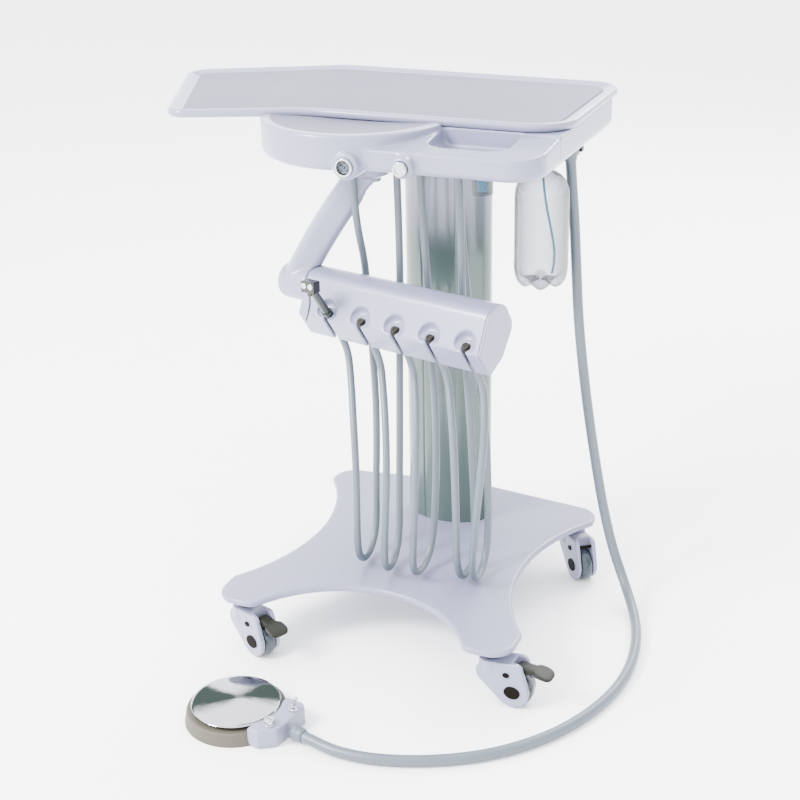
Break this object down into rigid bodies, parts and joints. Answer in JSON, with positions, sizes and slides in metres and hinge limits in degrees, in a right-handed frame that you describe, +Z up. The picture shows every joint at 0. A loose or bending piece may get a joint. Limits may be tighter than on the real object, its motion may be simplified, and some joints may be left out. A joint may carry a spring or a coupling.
{
  "type": "dental delivery cart",
  "caption": "Mobile dental delivery cart: tray head on a castered column, swinging instrument holder with syringe, water bottle, hoses and foot control.",
  "frame": {"origin": "on the floor, under the middle of the object's bounding box measured without its hoses", "axes": "+Z up, -Y towards the user's side where the instrument holder and the foot control are, +X towards the water bottle's side"},
  "size_m": [0.9102, 0.8505, 0.85],
  "materials": {
    "beige_rubber": "matt",
    "black_plastic": "matt",
    "chrome": "polished",
    "clear_plastic": "clear",
    "column_finish": "smooth silver-grey, semi-gloss",
    "dark_metal": "dark plated",
    "dial_white": "printed dial",
    "filter_blue": "sintered",
    "grey_mat": "soft matt mat",
    "hose_grey": "smooth silicone",
    "olive_plastic": "matt",
    "steel": "plated",
    "tube_blue": "clear tinted tube",
    "valve_metal": "machined",
    "wheel_grey": "wheel",
    "white_paint": "powder coat, satin",
    "white_plastic": "moulded, satin gloss"
  },
  "bodies": {
    "cart": {"base_plate": "white_paint", "caster_stems": "chrome", "column_bolts": "steel", "column": "column_finish", "head_flange": "white_paint", "tray": "white_plastic", "tray_mat": "grey_mat", "body_shell": "white_plastic", "body_cover": "white_plastic", "control_block": "valve_metal", "hose_glands": "hose_grey", "gauge_bezel": "chrome", "gauge_dial": "dial_white", "gauge_lens": "clear_plastic", "filter_head": "white_plastic", "filter_element": "filter_blue", "bottle_cap": "white_plastic", "pickup_tube": "tube_blue", "arm_pivot": "steel", "hose_1": "hose_grey", "hose_2": "hose_grey", "hose_3": "hose_grey", "hose_4": "hose_grey", "hose_5": "hose_grey", "foot_hose": "hose_grey", "pedal_base": "beige_rubber", "pedal_housing": "white_plastic", "pedal_fittings": "chrome"},
    "swivel_front_right": {"caster_fork_front_right": "white_plastic", "caster_pins_front_right": "black_plastic"},
    "wheel_front_right": {"caster_wheel_front_right": "wheel_grey"},
    "brake_front_right": {"brake_lever_front_right": "olive_plastic"},
    "swivel_front_left": {"caster_fork_front_left": "white_plastic", "caster_pins_front_left": "black_plastic"},
    "wheel_front_left": {"caster_wheel_front_left": "wheel_grey"},
    "brake_front_left": {"brake_lever_front_left": "olive_plastic"},
    "swivel_rear_right": {"caster_fork_rear_right": "white_plastic", "caster_pins_rear_right": "black_plastic"},
    "wheel_rear_right": {"caster_wheel_rear_right": "wheel_grey"},
    "swivel_rear_left": {"caster_fork_rear_left": "white_plastic", "caster_pins_rear_left": "black_plastic"},
    "wheel_rear_left": {"caster_wheel_rear_left": "wheel_grey"},
    "arm": {"arm": "white_plastic", "holder": "white_plastic", "holder_end_cap": "white_plastic", "tubing_connectors": "dark_metal", "syringe_body": "dark_metal", "syringe_head": "chrome"},
    "air_button": {"air_button": "dark_metal"},
    "water_button": {"water_button": "dark_metal"},
    "syringe_nozzle": {"syringe_nozzle": "chrome"},
    "gauge_needle": {"gauge_needle": "black_plastic"},
    "control_knob": {"control_knob": "chrome"},
    "filter_bowl": {"filter_bowl": "clear_plastic"},
    "bottle": {"bottle": "clear_plastic"},
    "water_toggle": {"water_toggle": "olive_plastic"},
    "air_toggle": {"air_toggle": "olive_plastic"},
    "pedal_disc": {"pedal_disc": "chrome"},
    "pedal_knob": {"pedal_knob": "chrome"},
    "pedal_toggle": {"pedal_toggle": "chrome"}
  },
  "joints": [
    {"name": "swivel_front_right", "type": "hinge", "parent": "cart", "child": "swivel_front_right", "pos_m": [0.3095, -0.1532, 0.08], "axis": [0, 0, 1], "continuous": true},
    {"name": "roll_front_right", "type": "hinge", "parent": "swivel_front_right", "child": "wheel_front_right", "pos_m": [0.34945, -0.15529, 0.029], "axis": [0.0523, 0.9986, 0], "continuous": true},
    {"name": "brake_front_right", "type": "hinge", "parent": "swivel_front_right", "child": "brake_front_right", "pos_m": [0.35943, -0.15582, 0.066], "axis": [0.0523, 0.9986, 0], "range_deg": [0, 14]},
    {"name": "swivel_front_left", "type": "hinge", "parent": "cart", "child": "swivel_front_left", "pos_m": [-0.1205, -0.1532, 0.08], "axis": [0, 0, 1], "continuous": true},
    {"name": "roll_front_left", "type": "hinge", "parent": "swivel_front_left", "child": "wheel_front_left", "pos_m": [-0.08455, -0.17073, 0.029], "axis": [0.4384, 0.8988, 0], "continuous": true},
    {"name": "brake_front_left", "type": "hinge", "parent": "swivel_front_left", "child": "brake_front_left", "pos_m": [-0.07556, -0.17512, 0.066], "axis": [0.4384, 0.8988, 0], "range_deg": [0, 14]},
    {"name": "swivel_rear_right", "type": "hinge", "parent": "cart", "child": "swivel_rear_right", "pos_m": [0.3095, 0.2828, 0.08], "axis": [0, 0, 1], "continuous": true},
    {"name": "roll_rear_right", "type": "hinge", "parent": "swivel_rear_right", "child": "wheel_rear_right", "pos_m": [0.33521, 0.25216, 0.029], "axis": [0.766, 0.6428, 0], "continuous": true},
    {"name": "swivel_rear_left", "type": "hinge", "parent": "cart", "child": "swivel_rear_left", "pos_m": [-0.1205, 0.2828, 0.08], "axis": [0, 0, 1], "continuous": true},
    {"name": "roll_rear_left", "type": "hinge", "parent": "swivel_rear_left", "child": "wheel_rear_left", "pos_m": [-0.08898, 0.30743, 0.029], "axis": [-0.6157, 0.788, 0], "continuous": true},
    {"name": "arm_swing", "type": "hinge", "parent": "cart", "child": "arm", "pos_m": [0.0065, 0.1148, 0.757], "axis": [0, 0, 1], "range_deg": [-40, 10], "deforming": ["hose_1", "hose_2", "hose_3", "hose_4", "hose_5"]},
    {"name": "air_button_press", "type": "slide", "parent": "arm", "child": "air_button", "axis": [0.2284, 0.9736, 0], "range_m": [0, 0.0015], "stiffness_N_per_m": 400, "springref_m": -0.003},
    {"name": "water_button_press", "type": "slide", "parent": "arm", "child": "water_button", "axis": [0.2284, 0.9736, 0], "range_m": [0, 0.0015], "stiffness_N_per_m": 400, "springref_m": -0.003},
    {"name": "nozzle_turn", "type": "hinge", "parent": "arm", "child": "syringe_nozzle", "pos_m": [-0.04264, -0.02331, 0.58234], "axis": [0, 0, 1], "continuous": true},
    {"name": "gauge_reading", "type": "hinge", "parent": "cart", "child": "gauge_needle", "pos_m": [0.0415, -0.0602, 0.798], "axis": [0, -1, 0], "range_deg": [-190, 80], "stiffness_Nm_per_rad": 0.00002},
    {"name": "control_knob_turn", "type": "hinge", "parent": "cart", "child": "control_knob", "pos_m": [0.1315, -0.0602, 0.803], "axis": [0, -1, 0], "range_deg": [0, 270]},
    {"name": "filter_bowl_turn", "type": "hinge", "parent": "cart", "child": "filter_bowl", "pos_m": [0.2125, 0.0628, 0.77], "axis": [0, 0, 1], "range_deg": [0, 45]},
    {"name": "bottle_turn", "type": "hinge", "parent": "cart", "child": "bottle", "pos_m": [0.2725, 0.1748, 0.77], "axis": [0, 0, -1], "range_deg": [0, 350]},
    {"name": "water_toggle_tip", "type": "hinge", "parent": "cart", "child": "water_toggle", "pos_m": [0.2975, 0.2428, 0.79], "axis": [0, 1, 0], "range_deg": [-10, 10]},
    {"name": "air_toggle_tip", "type": "hinge", "parent": "cart", "child": "air_toggle", "pos_m": [0.2975, 0.2688, 0.79], "axis": [0, 1, 0], "range_deg": [-10, 10]},
    {"name": "pedal_press", "type": "slide", "parent": "cart", "child": "pedal_disc", "axis": [0, 0, -1], "range_m": [0, 0.0035], "stiffness_N_per_m": 1200, "springref_m": -0.02},
    {"name": "pedal_knob_turn", "type": "hinge", "parent": "cart", "child": "pedal_knob", "pos_m": [0.04009, -0.38418, 0.036], "axis": [0, 0, 1], "range_deg": [0, 270]},
    {"name": "pedal_toggle_tip", "type": "hinge", "parent": "cart", "child": "pedal_toggle", "pos_m": [0.05615, -0.3375, 0.037], "axis": [0.2079, 0.9781, 0], "range_deg": [-41, 0]}
  ]
}
